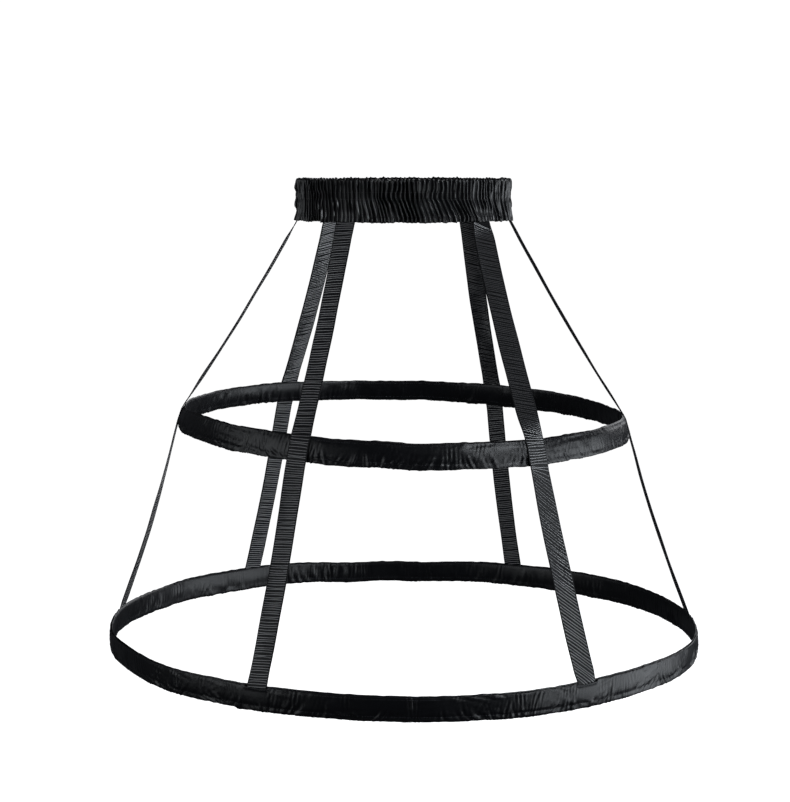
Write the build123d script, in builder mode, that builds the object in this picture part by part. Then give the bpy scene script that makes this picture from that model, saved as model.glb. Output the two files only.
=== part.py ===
from build123d import *
import os
from math import atan2, cos, degrees, pi, radians, sin

# Crinoline cage, worn under a skirt to hold it out. A ruched elastic waistband carries six
# ribbon straps. They are sewn over an upper hoop and end inside the casing of a lower hoop.
# Each hoop is a strip of spring steel, closed by a metal sleeve, in a casing of folded satin.
#
# Millimetres. +Z is up and -Y is the front. The origin is the centre of the waist opening, at
# half the waistband's height. Left is -X and right is +X, as seen from the front. Angles round
# the body are in degrees from the front, and positive towards +X.

os.makedirs("parts", exist_ok=True)

# Waistband: an oval of four arcs, closed round a 64 cm waist
band_height = 46.0
band_half_width = 115.3  # of the oval midway through the band
band_half_depth = 85.8
band_side_radius = 65.0
band_cloth = 1.2  # one layer of ruched satin
band_layer_spacing = 3.4  # between the middles of the two layers
band_mouth_spacing = 4.5  # the same, where the straps go in at the bottom
band_flare = 28.0  # how far the bottom edge leans out, in degrees
band_flare_length = 6.0
band_bend = 1.5  # radius of the bends in its section
elastic_width = 35.0
elastic_thickness = 1.5
elastic_below_top = 3.5
edge_rounding = 0.33  # of an elastic's or a steel's thickness

# Hoops: the radius and height are those of the middle of the casing
lower_radius = 328.2
lower_z = -485.4
lower_lean = 0.0  # how far the top edge leans in, in degrees
lower_tilt = 0.36  # this hoop hangs a little lower on its right
upper_radius = 246.8
upper_z = -245.5
upper_lean = 15.6
upper_tilt = 1.4  # so does this one
upper_pitch = 0.75  # and a little lower in front

# Hoop casing: one strip of satin folded along its bottom edge and sewn shut along its top
casing_height = 25.0
casing_cloth = 0.5
casing_bend = 0.55  # radius of the bends in its section
channel_spacing = 3.5  # between the middles of the two layers, round the steel
hem_spacing = 1.2  # the same, below the row of stitches that holds up the steel
upper_edge_spacing = 1.0  # the same, at the sewn top edge
lower_edge_spacing = 2.4  # wider, for the straps that end in this seam
edge_drop = 3.5  # from the top edge to the full channel
channel_drop = 17.0  # from the top edge to where the channel closes
seam_drop = 20.0  # from the top edge to the hem

# Hoop steel and the sleeve over its two ends
steel_width = 10.0
steel_thickness = 0.8
steel_drop = 10.5  # from the casing's top edge to the middle of the steel
steel_offset = -0.45  # from the middle of the casing, towards the inside of the hoop
steel_end_gap = 1.5
sleeve_length = 36.0
sleeve_wall = 0.5
sleeve_play = 0.1

# Straps: ribbon
strap_width = 22.0
strap_thickness = 0.9
strap_play = 0.1
strap_top_inset = 0.4  # from the bend above the waistband's seam to a strap's top end
strap_mouth_offset = 0.05  # outwards from the middle of the lower casing, at its top edge
strap_end_offset = 0.6  # the same, between the casing and the steel
strap_end_drop = 16.5  # how far a strap runs down inside the lower casing
strap_run = 18.0  # about how long each straight run of a strap's twist is
strap_sag = 3.5  # how far the middle of a strap's free length hangs in towards the body

# Where each strap is sewn: angles at the waistband, the upper hoop and the lower hoop, and how
# far the flat ribbon's middle lies inside the middle of the waistband, because the band curves
straps = {
    "front_left_strap": (-29.0, -29.0, -30.0, 0.2),
    "front_right_strap": (35.0, 29.0, 30.0, 0.2),
    "right_side_strap": (90.0, 87.0, 93.0, 0.5),
    "back_right_strap": (146.0, 150.0, 151.0, 0.2),
    "back_left_strap": (-146.0, -149.0, -148.2, 0.2),
    "left_side_strap": (-90.0, -92.0, -102.0, 0.5),
}

# Derived sizes
side_centre = band_half_width - band_side_radius
front_centre = (side_centre**2 - (band_half_depth - band_side_radius) ** 2) / (
    2 * (band_half_depth - band_side_radius)
)
front_radius = band_half_depth + front_centre
side_half_angle = degrees(atan2(front_centre, side_centre))
band_top = band_height / 2
band_bottom = -band_height / 2
flare_reach = band_flare_length * sin(radians(band_flare))
flare_top = band_bottom + band_flare_length * cos(radians(band_flare))
lower_frame = Plane((0, 0, lower_z)).rotated((0, lower_tilt, 0))
upper_frame = Plane((0, 0, upper_z)).rotated((upper_pitch, upper_tilt, 0))


def finish(piece, name):
    """Names a finished piece and writes it."""
    piece.part.label = name
    export_step(piece.part, f"parts/{name}.step")


# Waistband


def band_point(angle):
    """The point of the waistband's oval whose outward direction is at that angle."""
    turn = (angle + 180) % 360 - 180
    out = Vector(sin(radians(turn)), -cos(radians(turn)), 0)
    if abs(abs(turn) - 90) <= side_half_angle:
        centre = Vector(side_centre if turn > 0 else -side_centre, 0, 0)
        return centre + out * band_side_radius, out
    centre = Vector(0, front_centre if abs(turn) < 90 else -front_centre, 0)
    return centre + out * front_radius, out


with BuildLine() as waist_oval:
    CenterArc((side_centre, 0), band_side_radius, -side_half_angle, 2 * side_half_angle)
    CenterArc((0, -front_centre), front_radius, side_half_angle, 180 - 2 * side_half_angle)
    CenterArc((-side_centre, 0), band_side_radius, 180 - side_half_angle, 2 * side_half_angle)
    CenterArc((0, front_centre), front_radius, 180 + side_half_angle, 180 - 2 * side_half_angle)

band_section_plane = Plane(
    origin=(band_half_width, 0, 0), x_dir=(1, 0, 0), z_dir=(0, -1, 0)
)

with BuildPart() as waistband_casing:
    with BuildSketch(band_section_plane):
        with BuildLine() as band_fold:
            layer = band_layer_spacing / 2
            mouth = band_mouth_spacing / 2
            top = band_top - band_cloth / 2
            FilletPolyline(
                (flare_reach + mouth, band_bottom),
                (layer, flare_top),
                (layer, top),
                (-layer, top),
                (-layer, flare_top),
                (flare_reach - mouth, band_bottom),
                radius=band_bend,
            )
            offset(amount=band_cloth / 2, side=Side.BOTH)
        make_face()
    sweep(path=waist_oval.wire())
finish(waistband_casing, "waistband_casing")

with BuildPart() as waistband_elastic:
    with BuildSketch(band_section_plane):
        with Locations((0, band_top - elastic_below_top - elastic_width / 2)):
            RectangleRounded(
                elastic_thickness, elastic_width, elastic_thickness * edge_rounding
            )
    sweep(path=waist_oval.wire())
finish(waistband_elastic, "waistband_elastic")


# Hoops


def hoop_section(frame, radius, lean, angle=0.0):
    """The plane that cuts a hoop's casing at an angle, with x outwards and y up the casing."""
    out = frame.x_dir * sin(radians(angle)) - frame.y_dir * cos(radians(angle))
    return Plane(
        origin=frame.origin + out * radius,
        x_dir=out * cos(radians(lean)) + frame.z_dir * sin(radians(lean)),
        z_dir=out.cross(frame.z_dir),
    )


def hoop_casing(section, frame, edge_spacing):
    """A strip of satin folded round the steel, with its open edge at the top."""
    half = casing_height / 2
    with BuildPart() as casing:
        with BuildSketch(section):
            with BuildLine():
                edge = edge_spacing / 2
                channel = channel_spacing / 2
                hem = hem_spacing / 2
                fold = casing_cloth / 2 - half
                FilletPolyline(
                    (edge, half),
                    (channel, half - edge_drop),
                    (channel, half - channel_drop),
                    (hem, half - seam_drop),
                    (hem, fold),
                    (-hem, fold),
                    (-hem, half - seam_drop),
                    (-channel, half - channel_drop),
                    (-channel, half - edge_drop),
                    (-edge, half),
                    radius=casing_bend,
                )
                offset(amount=casing_cloth / 2, side=Side.BOTH)
            make_face()
        revolve(axis=Axis(frame.origin, frame.z_dir))
    return casing


def hoop_steel(section, frame, radius):
    """The steel strip, bent round with its ends nearly meeting at the back."""
    gap = degrees(steel_end_gap / radius)
    with BuildPart() as steel:
        with BuildSketch(section):
            with Locations((steel_offset, casing_height / 2 - steel_drop)):
                RectangleRounded(
                    steel_thickness, steel_width, steel_thickness * edge_rounding
                )
        revolve(axis=Axis(frame.origin, frame.z_dir), revolution_arc=360 - gap)
    return steel


def hoop_sleeve(section, frame, radius):
    """The flat metal tube that both ends of the steel are pushed into."""
    inner_thickness = steel_thickness + 2 * sleeve_play
    inner_width = steel_width + 2 * sleeve_play
    with BuildPart() as sleeve:
        with BuildSketch(section):
            with Locations((steel_offset, casing_height / 2 - steel_drop)):
                RectangleRounded(
                    inner_thickness + 2 * sleeve_wall,
                    inner_width + 2 * sleeve_wall,
                    sleeve_wall,
                )
                Rectangle(inner_thickness, inner_width, mode=Mode.SUBTRACT)
        revolve(
            axis=Axis(frame.origin, frame.z_dir),
            revolution_arc=degrees(sleeve_length / radius),
        )
    return sleeve


hoops = {
    "upper_hoop": (upper_frame, upper_radius, upper_lean, upper_edge_spacing),
    "lower_hoop": (lower_frame, lower_radius, lower_lean, lower_edge_spacing),
}
for hoop, (frame, radius, lean, edge_spacing) in hoops.items():
    half_gap = degrees(steel_end_gap / radius) / 2
    half_sleeve = degrees(sleeve_length / radius) / 2
    front = hoop_section(frame, radius, lean)
    steel_end = hoop_section(frame, radius, lean, 180 + half_gap)
    sleeve_end = hoop_section(frame, radius, lean, 180 - half_sleeve)
    finish(hoop_casing(front, frame, edge_spacing), f"{hoop}_casing")
    finish(hoop_steel(steel_end, frame, radius), f"{hoop}_steel")
    finish(hoop_sleeve(sleeve_end, frame, radius), f"{hoop}_sleeve")


# Straps


def on_hoop(frame, radius, lean, angle, outwards, drop):
    """A point by a hoop's casing, with the direction along the hoop there."""
    section = hoop_section(frame, radius, lean, angle)
    point = section.from_local_coords(Vector(outwards, casing_height / 2 - drop, 0))
    return point, section.z_dir * -1


def strap_route(waist_angle, upper_angle, lower_angle, inset):
    """The middle of a strap at each place where it bends, with the direction of its width."""
    middle, out = band_point(waist_angle)
    across = out.cross(Vector(0, 0, -1))
    seam = [
        (middle + out * (reach - inset) + Vector(0, 0, height), across)
        for reach, height in (
            (strap_top_inset, flare_top - strap_top_inset),
            (flare_reach, band_bottom),
        )
    ]
    outer_face = (channel_spacing + casing_cloth + strap_thickness) / 2 + strap_play
    edge_face = (upper_edge_spacing + casing_cloth + strap_thickness) / 2 + 2 * strap_play
    over_upper = [
        on_hoop(upper_frame, upper_radius, upper_lean, upper_angle, outwards, drop)
        for outwards, drop in (
            (edge_face, 0.0),
            (outer_face, edge_drop),
            (outer_face, channel_drop),
        )
    ]
    into_lower = [
        on_hoop(lower_frame, lower_radius, lower_lean, lower_angle, outwards, drop)
        for outwards, drop in (
            (strap_mouth_offset, 0.0),
            (strap_end_offset, edge_drop),
            (strap_end_offset, strap_end_drop),
        )
    ]
    return seam + over_upper + into_lower


def spaced_out(route):
    """The route with more places along its free runs, where the ribbon turns and sags a little."""
    places = [route[0]]
    for (start, across_start), (end, across_end) in zip(route, route[1:]):
        steps = max(1, round((end - start).length / strap_run))
        for step in range(1, steps + 1):
            share = step / steps
            across = across_start * (1 - share) + across_end * share
            point = start + (end - start) * share
            if steps > 1:
                inwards = Vector(-point.X, -point.Y, 0).normalized()
                point += inwards * strap_sag * sin(pi * share)
            places.append((point, across.normalized()))
    return places


def strap(route):
    """A flat ribbon lofted along its route."""
    places = spaced_out(route)
    points = [point for point, _ in places]
    with BuildPart() as ribbon:
        for i, (point, across) in enumerate(places):
            before = points[max(i - 1, 0)]
            after = points[min(i + 1, len(points) - 1)]
            along = after - before
            square = along - across * along.dot(across)
            with BuildSketch(Plane(origin=point, x_dir=across, z_dir=square)):
                Rectangle(strap_width, strap_thickness)
        loft(ruled=True)
    return ribbon


for name, sewn_at in straps.items():
    finish(strap(strap_route(*sewn_at)), name)
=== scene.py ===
import math

import bmesh
import bpy
import numpy as np
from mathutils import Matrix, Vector


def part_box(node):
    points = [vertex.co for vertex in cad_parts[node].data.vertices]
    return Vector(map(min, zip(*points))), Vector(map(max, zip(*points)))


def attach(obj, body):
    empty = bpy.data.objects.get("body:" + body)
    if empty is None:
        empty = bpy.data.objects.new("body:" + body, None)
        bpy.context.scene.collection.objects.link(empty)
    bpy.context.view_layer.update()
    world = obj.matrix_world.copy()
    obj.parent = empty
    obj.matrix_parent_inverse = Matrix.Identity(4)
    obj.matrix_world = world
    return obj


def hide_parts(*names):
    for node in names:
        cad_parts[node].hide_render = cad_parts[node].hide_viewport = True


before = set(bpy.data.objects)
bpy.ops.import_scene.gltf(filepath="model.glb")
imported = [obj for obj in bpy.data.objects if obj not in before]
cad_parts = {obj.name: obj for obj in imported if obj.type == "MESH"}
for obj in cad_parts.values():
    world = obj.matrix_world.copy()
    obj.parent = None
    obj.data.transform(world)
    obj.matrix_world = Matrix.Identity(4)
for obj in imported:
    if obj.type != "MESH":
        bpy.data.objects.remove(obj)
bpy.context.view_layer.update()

# A crinoline cage in black satin. The waistband is ruched over elastic, each of the two hoops is
# a steel in a casing of folded satin, and six ribbon straps join them. Metres, with +Z up and -Y
# to the front. Angles round the body are in degrees from the front, positive towards +X.

MM = 0.001

# Waistband. Its section is given outwards from the middle of the band and upwards from half height
BAND_SIDE_RADIUS = 65 * MM
OVAL_STEPS = 7201
ELASTIC_THICKNESS = 1.5 * MM
BAND_BOTTOM = -23 * MM
BAND_LEAN = 2.3 * MM  # how far the bottom edge stands out
BAND_LEAN_LEFT = 1.6 * MM  # and how much more at the left side
BAND_CLOTH = 0.32 * MM
BAND_VALLEY = 1.12 * MM  # from the middle of the band to the bottom of a fold
GATHERS = 140
GATHER_HEIGHT = 2.75 * MM
COLUMNS_PER_GATHER = 8
GATHER_CUT = 7.0 * MM  # how much cloth there is in each
BAND_STRIP = 98 * MM  # how wide the strip is cut
# The rows of its mesh, in millimetres: up the outer layer, round the fold, and down the inner one
BAND_OUTER_ROWS = (
    (-23.0, -22.0, -20.6, -19.0, -17.6, -16.2, -15.0, -13.0, -10.5, -8.0, -5.5, -3.0, -0.6)
    + (1.1, 2.6, 4.2, 5.8, 7.4, 8.7, 10.2, 12.4, 15.0, 17.6, 19.6, 21.0)
)
BAND_FOLD_ROWS = 3
BAND_INNER_ROWS = (16.0, 8.7, 4.9, 1.1, -5.0, -11.0, -16.2, -19.5, -23.0)
# Two rows of stitches go through cloth and elastic, and one closes the casing above the ruffle
BAND_STITCHED_ROWS = (8.7, 1.1, -16.2)
TACKED_ROWS = (-15.0, -19.0)  # where the straps are tacked to it
TACK_HALF = 10.5 * MM
# How far each fold is dragged round to the right as it goes down, by the angle round the waist
DRAG_ANGLES = (-180, -120, -40, 0, 28, 60, 120, 179.9)
DRAG = (0.10, 0.06, 0.14, 0.34, 0.46, 0.16, 0.10, 0.10)
# How high the gathers stand, and how far the band stands out, by the height in millimetres
GATHER_LEVELS = (-23.0, -19.5, -16.2, -12.5, -3.0, 1.1, 4.9, 8.7, 12.0, 18.5, 21.0)
GATHER_STRENGTH = (0.95, 1.05, 0.98, 1.05, 1.0, 0.86, 1.0, 0.84, 1.0, 0.95, 0.55)
BAND_FLARE_LEVELS = (-23.0, -12.0, 4.0, 14.0, 23.0)
BAND_FLARE = (1.3, 1.0, 0.1, 0.6, 1.6)

# Hoop casings. The section is given outwards and upwards from the middle of the casing
CASING_HEIGHT = 25 * MM
CASING_CLOTH = 0.5 * MM
CASING_STRIP = 52 * MM  # how wide the strip is cut
# The rows of its mesh, in millimetres: down the outer layer, round the fold, and up the inner one
CASING_OUTER_ROWS = (
    (12.5, 11.6, 10.0, 8.6, 6.6, 4.2, 1.6, -1.0)
    + (-3.4, -5.2, -6.5, -7.4, -8.3, -9.6, -10.9, -11.7)
)
CASING_FOLD_ROWS = 2
CASING_INNER_ROWS = (-10.0, -7.4, -4.0, 1.5, 7.0, 10.0, 13.5)
CASING_STITCHED_ROWS = (-7.4, 10.0)  # one holds the steel up and one closes the top
CHANNEL = 2.0 * MM  # from the middle of the casing to its face, round the steel
HEM = 0.85 * MM  # the same, below the stitches that hold up the steel
CHANNEL_END = -4.5 * MM
# From the middle of the casing to its face, by the height, all in millimetres. The last three
# levels take theirs from how wide the top edge is
CASING_FACE_LEVELS = (-11.7, -10.0, -7.4, -3.6, 2.0, 7.0, 10.6, 11.6, 12.5)
CASING_FACE = (0.80, 1.15, 0.98, 1.92, 2.15, 2.00)
# The puckers at each row of stitches: how far they reach up and down, their depth and their width
STEEL_PUCKER = (6.0 * MM, 3.9 * MM, 1.35 * MM, 3.0 * MM)
TOP_PUCKER = (3.0 * MM, 4.0 * MM, 0.28 * MM, 3.4 * MM)
# Creases: their height, spacing and size, and the range of their slopes in degrees
SHORT_CREASES = (0.44 * MM, 4.2 * MM, 9 * MM, (-55, 25))
LONG_CREASES = (0.70 * MM, 5.0 * MM, 15 * MM, (68, 106))
FOOT_CREASES = (0.38 * MM, 3.6 * MM, 6 * MM, (-50, 50))
# The steel and its sleeve inside: how far they reach inwards and outwards, and down and up
STEEL_REACH = (0.85 * MM, -0.05 * MM, -3.0 * MM, 7.0 * MM)
SLEEVE_REACH = (1.45 * MM, 0.55 * MM, -3.6 * MM, 7.6 * MM)
SLEEVE_HALF = 18 * MM  # half its length
SLEEVE_ANGLE = 180
STEEL_ROOM = 0.15 * MM
UPPER_LEAN = math.radians(15.6)
UPPER_TILT = math.radians(1.4)  # lower on its right
UPPER_PITCH = math.radians(0.75)  # and lower in front
LOWER_TILT = math.radians(0.36)
# Where each hoop dips or rises between its straps: the angle, how far down, and over what length
UPPER_DIPS = ((0, 2.0 * MM, 75 * MM), (-62, -2.8 * MM, 75 * MM), (57, -2.6 * MM, 65 * MM))
LOWER_DIPS = (
    (180, 4.8 * MM, 80 * MM),
    (180, -2.6 * MM, 35 * MM),
    (14, 1.6 * MM, 65 * MM),
    (43, -2.2 * MM, 70 * MM),
    (-69, -2.4 * MM, 50 * MM),
    (122, -1.2 * MM, 150 * MM),
)
# Where each casing is taller or narrower: the angle, the share, and over what length
UPPER_HEIGHTS = ((0, 0.07, 260 * MM), (140, 0.12, 80 * MM), (-84, -0.10, 30 * MM))
LOWER_HEIGHTS = (
    (46, 0.10, 150 * MM),
    (132, 0.13, 150 * MM),
    (-140, 0.10, 120 * MM),
    (-80, -0.06, 35 * MM),
)
UPPER_EDGE = 0.78 * MM  # from the middle of the casing to its face at the top edge
LOWER_EDGE = 1.32 * MM
LAP_SEAM = -34.0  # where the ends of the lower casing lap
STEEL_KINKS = 36  # how many short bends there are round a hoop

# Straps. For each: the angles where it is sewn to the waistband, the upper hoop and the lower hoop,
# how many degrees it is turned about its length above the upper hoop and below it, and the slope,
# size and pitch of its ribs above and below, with the pitch in millimetres
STRAPS = {
    "front_left_strap": ((-29.0, -29.0, -30.0), (5, 2), (0.05, 0.62, 3.0), (-0.08, 0.98, 2.5)),
    "front_right_strap": ((35.0, 29.0, 30.0), (27, 12), (0.40, 0.50, 2.4), (1.00, 1.02, 3.75)),
    "right_side_strap": ((90.0, 87.0, 93.0), (-3.5, 0), (0.15, 0.80, 2.7), (0.35, 0.95, 2.8)),
    "back_right_strap": ((146.0, 150.0, 151.0), (0, 0), (-0.10, 0.80, 2.7), (0.20, 0.95, 2.8)),
    "back_left_strap": ((-146.0, -149.0, -148.2), (0, 0), (0.10, 0.80, 2.7), (-0.15, 0.95, 2.8)),
    "left_side_strap": ((-90.0, -92.0, -102.0), (7, 3), (-0.05, 0.80, 2.7), (-0.20, 0.95, 2.8)),
}
WAIST_END, UPPER_CROSSING, LOWER_END = range(3)  # the places of those angles
STRAP_WIDTH = 22.5 * MM
STRAP_THICKNESS = 0.7 * MM
STRAP_TOP = -18.1 * MM
STRAP_OVER_EDGE = 1.4 * MM  # outwards from the middle of the upper casing
STRAP_OVER_CHANNEL = 2.6 * MM
STRAP_IN_MOUTH = 0.05 * MM  # outwards from the middle of the lower casing
STRAP_INSIDE = 0.6 * MM
STRAP_SAG = 3.5 * MM  # how far the middle of each free length hangs in
STRAP_STEP = 2.0 * MM  # from one row of its mesh to the next
TACK_DROP = 2.4 * MM  # from the upper casing's top edge to the strap's tacks
RIB_RADIUS = 0.72 * MM
RIB_NEAR_BAND = 0.5  # how much smaller they are near the waistband
RIB_ON_HOOP = 0.34  # their size where they are pressed flat over the upper hoop
# Where the ribbon's thick edge starts and where it thins again, as shares of its half width
SELVEDGE, THIN_EDGE = 0.88, 0.97
RIBBON_COLUMNS = (
    (-1, -0.96, -0.9, -0.82, -0.68, -0.5, -0.3, -0.1)
    + (0.1, 0.3, 0.5, 0.68, 0.82, 0.9, 0.96, 1)
)

# Stitches
STITCH_PITCH = 2.7 * MM
STITCH_LENGTH = 1.9 * MM
STITCH_WIDTH = 0.34 * MM
STITCH_WANDER = 0.10


# ---- Shapes that every piece uses


def ease(places, knots, values):
    """A curve through knots that is level at each of them."""
    knots, values = np.asarray(knots), np.asarray(values)
    span = np.clip(np.searchsorted(knots, places) - 1, 0, len(knots) - 2)
    share = np.clip((places - knots[span]) / (knots[span + 1] - knots[span]), 0, 1)
    share = share * share * (3 - 2 * share)
    return values[span] * (1 - share) + values[span + 1] * share


def uneven(u, v, cell_u, cell_v, length, random):
    """Smooth random heights from -1 to 1 over cloth that meets itself after a length of u."""
    u, v = np.broadcast_arrays(u, v)
    round_count = max(3, round(length / cell_u))
    across = (u % length) / length * round_count
    up = (v - v.min()) / cell_v
    lattice = random.uniform(-1, 1, (round_count, int(up.max()) + 2))
    column, row = np.floor(across).astype(int), np.floor(up).astype(int)
    share_u, share_v = across - column, up - row
    share_u = share_u * share_u * (3 - 2 * share_u)
    share_v = share_v * share_v * (3 - 2 * share_v)
    column, following = column % round_count, (column + 1) % round_count
    low = lattice[column, row] * (1 - share_u) + lattice[following, row] * share_u
    high = lattice[column, row + 1] * (1 - share_u) + lattice[following, row + 1] * share_u
    return low * (1 - share_v) + high * share_v


def creases(u, v, length, places, random, height, spacing, size, slope):
    """Short wrinkles round given places, each a few parallel ridges that fade out."""
    total = np.zeros(np.broadcast(u, v).shape)
    for place_u, place_v in places:
        lean = math.radians(random.uniform(*slope))
        along_u = (u - place_u + length / 2) % length - length / 2
        along_v = v - place_v
        ridge = along_u * math.cos(lean) + along_v * math.sin(lean)
        run = along_v * math.cos(lean) - along_u * math.sin(lean)
        wide, long = size * random.uniform(0.5, 0.9), size * random.uniform(0.8, 1.6)
        fade = np.exp(-((ridge / wide) ** 2) - (run / long) ** 2)
        turn = 2 * math.pi * ridge / (spacing * random.uniform(0.75, 1.35))
        total += height * random.uniform(0.4, 1.0) * fade * np.cos(turn + random.uniform(0, 6))
    return total


def near(u, places, half, fade, length):
    """1 within half of the places along u, and 0 beyond a fade."""
    mask = np.zeros(np.shape(u))
    for place in places:
        away = np.abs((u - place + length / 2) % length - length / 2)
        mask = np.maximum(mask, np.clip(1 - (away - half) / fade, 0, 1))
    return mask * mask * (3 - 2 * mask)


def bumps(u, hoop, places):
    """Rounded rises along a hoop, each given by its angle, height and reach."""
    total = 0.0
    for angle, height, reach in places:
        away = (u - hoop.at(angle) + hoop.length / 2) % hoop.length - hoop.length / 2
        total = total + height * np.exp(-((away / reach) ** 2))
    return total


def folded(outer_rows, fold_rows, inner_rows):
    """Rows of a strip that is folded over: the turn of its face at each, and its height."""
    turns = np.concatenate(
        [
            np.zeros(len(outer_rows)),
            np.linspace(0, math.pi, fold_rows + 2)[1:-1],
            np.full(len(inner_rows), math.pi),
        ]
    )
    heights = np.concatenate(
        [outer_rows, np.full(fold_rows, outer_rows[-1]), inner_rows]
    )
    return turns[:, None], heights[:, None] * MM


def rows_on_both_layers(points, outer_rows, fold_rows, inner_rows, wanted):
    """The lines of points at wanted rows of a folded strip, on its outer layer and its inner."""
    inner_start = len(outer_rows) + fold_rows
    outer_lines = [points[outer_rows.index(row)] for row in wanted]
    return outer_lines + [points[inner_start + inner_rows.index(row)] for row in wanted]


def cut_across(turn, height, fold_radius):
    """How far each row of a folded strip is from its edge when it lies flat."""
    steps = np.abs(np.diff(height[:, 0])) + np.diff(turn[:, 0]) * fold_radius
    return np.concatenate([[0], np.cumsum(steps)])[:, None]


# ---- The lines that the band and the hoops follow


class Waist:
    """The waistband's oval of four arcs, measured along from the middle of the back."""

    def __init__(self):
        _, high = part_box("waistband_elastic")
        half_width = high.x - ELASTIC_THICKNESS / 2
        half_depth = high.y - ELASTIC_THICKNESS / 2
        side_centre = half_width - BAND_SIDE_RADIUS
        rise = half_depth - BAND_SIDE_RADIUS
        front_centre = (side_centre**2 - rise**2) / (2 * rise)
        side_half_angle = math.atan2(front_centre, side_centre)
        self.turns = np.linspace(-math.pi, math.pi, OVAL_STEPS)
        at_side = np.abs(np.abs(self.turns) - math.pi / 2) <= side_half_angle
        front = np.where(np.abs(self.turns) < math.pi / 2, front_centre, -front_centre)
        radius = np.where(at_side, BAND_SIDE_RADIUS, half_depth + front_centre)
        centre_x = np.where(at_side, np.sign(self.turns) * side_centre, 0)
        centre_y = np.where(at_side, 0, front)
        self.x = centre_x + np.sin(self.turns) * radius
        self.y = centre_y - np.cos(self.turns) * radius
        steps = np.hypot(np.diff(self.x), np.diff(self.y))
        self.along = np.concatenate([[0], np.cumsum(steps)])
        self.length = self.along[-1]

    def at(self, angle):
        """How far along the oval its outward direction is at that angle."""
        return float(np.interp(math.radians(angle), self.turns, self.along))

    def place(self, u, outwards, upwards, onwards=0.0):
        """Points by the oval, at distances along it, out from it, up and onwards along it."""
        u = np.asarray(u) % self.length
        turn = np.interp(u, self.along, self.turns)
        x = np.interp(u, self.along, self.x) + np.sin(turn) * outwards + np.cos(turn) * onwards
        y = np.interp(u, self.along, self.y) - np.cos(turn) * outwards + np.sin(turn) * onwards
        return np.stack(np.broadcast_arrays(x, y, upwards), axis=-1)


class Hoop:
    """The circle of a hoop's casing, measured along from the middle of the back."""

    def __init__(self, casing, lean, tilt, pitch, dips):
        low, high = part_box(casing)
        reach = max(
            CHANNEL * math.cos(lean) - CHANNEL_END * math.sin(lean),
            HEM * math.cos(lean) + CASING_HEIGHT / 2 * math.sin(lean),
        )
        self.radius = (high.y - low.y) / 2 - reach
        self.height = (high.z + low.z) / 2
        self.lean, self.tilt, self.pitch, self.dips = lean, tilt, pitch, dips
        self.length = 2 * math.pi * self.radius

    def at(self, angle):
        """How far along the hoop an angle is."""
        return math.radians(angle + 180) * self.radius

    def place(self, u, outwards, upwards, onwards=0.0):
        """Points by the casing, at distances along it, out from it, up it and onwards."""
        u = np.asarray(u) + onwards
        turn = u / self.radius - math.pi
        reach = self.radius + outwards * math.cos(self.lean) - upwards * math.sin(self.lean)
        rise = outwards * math.sin(self.lean) + upwards * math.cos(self.lean)
        x, y = np.sin(turn) * reach, -np.cos(turn) * reach
        level_x = x * math.cos(self.tilt) + rise * math.sin(self.tilt)
        rise = rise * math.cos(self.tilt) - x * math.sin(self.tilt)
        level_y = y * math.cos(self.pitch) - rise * math.sin(self.pitch)
        level_z = rise * math.cos(self.pitch) + y * math.sin(self.pitch) + self.height
        level_z = level_z - bumps(u, self, self.dips)
        return np.stack(np.broadcast_arrays(level_x, level_y, level_z), axis=-1)


# ---- Meshes


def cloth(name, points, across, along, wrap, flip=False):
    """A sheet of quads over a grid of points, with its cut size in metres as its UV map."""
    rows, columns = points.shape[:2]
    across, along = np.broadcast_arrays(across, along)
    mesh = bpy.data.meshes.new(name)
    last = columns if wrap else columns - 1
    column = np.arange(last)
    following = (column + 1) % columns
    row = np.arange(rows - 1)[:, None]
    corners = [(0, 0), (0, 1), (1, 1), (1, 0)]
    if flip:
        corners.reverse()
    faces = np.stack(
        [(row + up) * columns + (following if on else column) for up, on in corners], axis=-1
    )
    mesh.from_pydata(points.reshape(-1, 3).tolist(), [], faces.reshape(-1, 4).tolist())
    step = across[:, 1:2] - across[:, :1]
    wide = np.concatenate([across, across[:, -1:] + step], axis=1)
    tall = np.concatenate([along, along[:, :1]], axis=1)
    chart = np.stack(
        [
            np.stack([wide[row + up, column + on], tall[row + up, column + on]], axis=-1)
            for up, on in corners
        ],
        axis=-2,
    )
    layer = mesh.uv_layers.new(name="cloth")
    layer.data.foreach_set("uv", chart.reshape(-1).astype(np.float32))
    mesh.shade_smooth()
    piece = bpy.data.objects.new(name, mesh)
    bpy.context.scene.collection.objects.link(piece)
    return piece


def applied(piece):
    """Makes what a piece's modifiers give its plain mesh, and removes them."""
    depsgraph = bpy.context.evaluated_depsgraph_get()
    mesh = bpy.data.meshes.new_from_object(piece.evaluated_get(depsgraph))
    piece.modifiers.clear()
    piece.data = mesh
    mesh.name = piece.name
    return piece


def thicken(piece, thickness):
    """Gives cloth its thickness, inwards from its face."""
    solid = piece.modifiers.new("thickness", "SOLIDIFY")
    solid.thickness = thickness
    solid.offset = -1
    return applied(piece)


def lines(name, rows, closed, sizes=None):
    """A mesh of polylines, for stitches or ribs to follow."""
    points, edges, start = [], [], 0
    for row in rows:
        count = len(row)
        points.extend(np.asarray(row).tolist())
        edges.extend((start + i, start + (i + 1) % count) for i in range(count - (not closed)))
        start += count
    mesh = bpy.data.meshes.new(name)
    mesh.from_pydata(points, edges, [])
    if sizes is not None:
        size = mesh.attributes.new("size", "FLOAT", "POINT")
        size.data.foreach_set("value", np.concatenate(sizes).astype(np.float32))
    piece = bpy.data.objects.new(name, mesh)
    bpy.context.scene.collection.objects.link(piece)
    return piece


# ---- Geometry Nodes for stitches and ribs


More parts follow.
